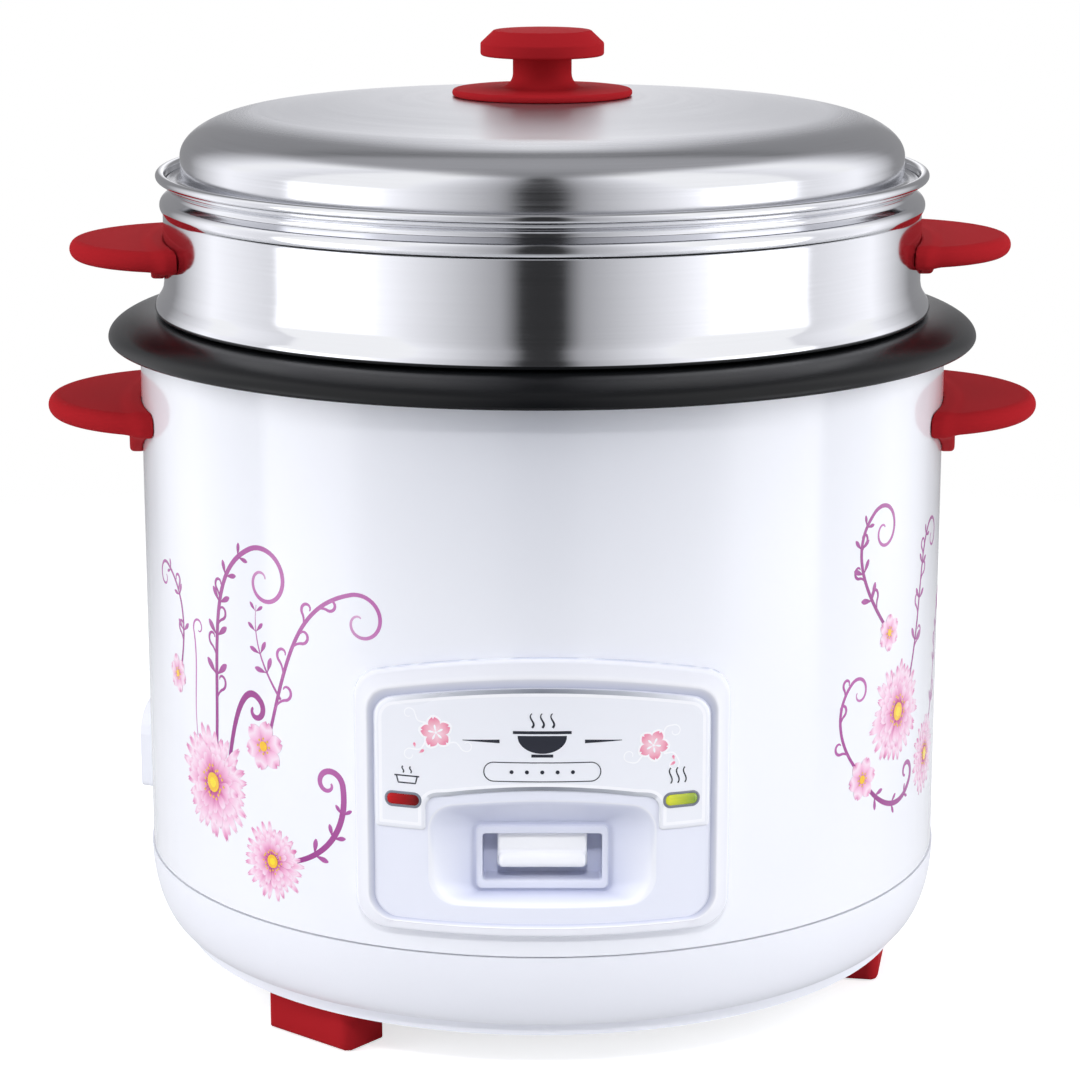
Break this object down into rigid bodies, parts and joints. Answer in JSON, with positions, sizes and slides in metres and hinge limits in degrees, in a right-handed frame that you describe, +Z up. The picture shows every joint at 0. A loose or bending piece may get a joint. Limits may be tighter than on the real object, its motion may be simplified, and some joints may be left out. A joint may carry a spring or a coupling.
{
  "type": "rice cooker",
  "caption": "Drum-shaped electric rice cooker with lift-out pot, steamer basket, domed steel lid, side handles and a front switch panel.",
  "frame": {"origin": "on the surface the feet stand on, under the middle of the body", "axes": "+Z up, the control panel faces -Y, the carrying handles point along +X and -X"},
  "size_m": [0.322, 0.28, 0.3071],
  "materials": {
    "white_paint": "gloss",
    "white_plastic": "gloss",
    "red_plastic": "satin",
    "stainless": "polished",
    "nonstick_pot": "satin non-stick coating",
    "cast_aluminium": "cast",
    "zinc_steel": "galvanised",
    "screw_steel": "plated",
    "label_film": "gloss",
    "lens_red": "clear gloss",
    "lens_green": "clear gloss",
    "lamp_glass": "clear",
    "black_plastic": "matte",
    "brown_plastic": "matte",
    "ceramic": "glazed",
    "ferrite": "matte",
    "brass": "satin",
    "wire_blue": "satin",
    "wire_red": "satin"
  },
  "bodies": {
    "base": {"outer_body": "white_paint", "inner_liner": "zinc_steel", "base_ring": "white_plastic", "bottom_cover": "white_plastic", "foot_front_left": "red_plastic", "foot_right": "red_plastic", "foot_rear_left": "red_plastic", "foot_screws": "screw_steel", "cover_screws": "screw_steel", "base_ring_screws": "screw_steel", "body_handle_left": "red_plastic", "body_handle_right": "red_plastic", "body_handle_screws": "screw_steel", "panel_frame": "white_plastic", "panel_plate": "white_plastic", "label_plate": "label_film", "panel_screws": "screw_steel", "cook_lens": "lens_red", "warm_lens": "lens_green", "cook_lamp": "lamp_glass", "warm_lamp": "lamp_glass", "lever_pin": "screw_steel", "switch_bracket": "zinc_steel", "bracket_screws": "screw_steel", "microswitch": "black_plastic", "microswitch_screws": "screw_steel", "heating_plate": "cast_aluminium", "element_terminals": "ceramic", "plate_spacers": "zinc_steel", "plate_screws": "screw_steel", "sensor_spring": "screw_steel", "sensor_guide": "zinc_steel", "thermostat_bracket": "zinc_steel", "thermostat_screws": "screw_steel", "keep_warm_thermostat": "brown_plastic", "thermal_fuse": "ceramic", "mains_wires": "wire_blue", "lamp_wires": "wire_red", "inlet_housing": "white_plastic", "inlet_pins": "brass", "inlet_screws": "screw_steel"},
    "pot": {"inner_pot": "nonstick_pot"},
    "steamer": {"steamer_basket": "stainless", "steamer_handle_left": "red_plastic", "steamer_handle_right": "red_plastic", "steamer_handle_screws": "screw_steel"},
    "lid": {"lid": "stainless", "lid_knob": "red_plastic", "knob_screw": "screw_steel", "knob_washer": "screw_steel"},
    "lever": {"switch_button": "white_plastic", "switch_lever": "zinc_steel"},
    "plunger": {"switch_plunger": "red_plastic"},
    "magnet": {"magnet": "ferrite", "magnet_rod": "brass"},
    "sensor": {"sensor_cup": "cast_aluminium", "ferrite_disc": "ferrite", "magnet_spring": "screw_steel"}
  },
  "joints": [
    {"name": "pot_lift", "type": "slide", "parent": "base", "child": "pot", "axis": [0, 0, 1], "range_m": [0, 0.16]},
    {"name": "steamer_lift", "type": "slide", "parent": "pot", "child": "steamer", "axis": [0, 0, 1], "range_m": [0, 0.1]},
    {"name": "lid_lift", "type": "slide", "parent": "steamer", "child": "lid", "axis": [0, 0, 1], "range_m": [0, 0.1]},
    {"name": "cook_switch", "type": "hinge", "parent": "base", "child": "lever", "pos_m": [0, -0.062, 0.048], "axis": [1, 0, 0], "range_deg": [0, 3.2], "stiffness_Nm_per_rad": 1.5, "springref_deg": -5.73},
    {"name": "plunger_press", "type": "slide", "parent": "base", "child": "plunger", "axis": [0, 0, 1], "range_m": [-0.0016, 0]},
    {"name": "magnet_lift", "type": "slide", "parent": "base", "child": "magnet", "axis": [0, 0, 1], "range_m": [0, 0.0036], "deforming": ["magnet_spring"]},
    {"name": "sensor_press", "type": "slide", "parent": "base", "child": "sensor", "axis": [0, 0, 1], "range_m": [-0.0015, 0], "stiffness_N_per_m": 1500, "springref_m": 0.004, "deforming": ["sensor_spring"]}
  ],
  "couplings": [
    {"joint": "plunger_press", "follows": "cook_switch", "m_per_rad": -0.026},
    {"joint": "magnet_lift", "follows": "cook_switch", "m_per_rad": 0.062}
  ]
}
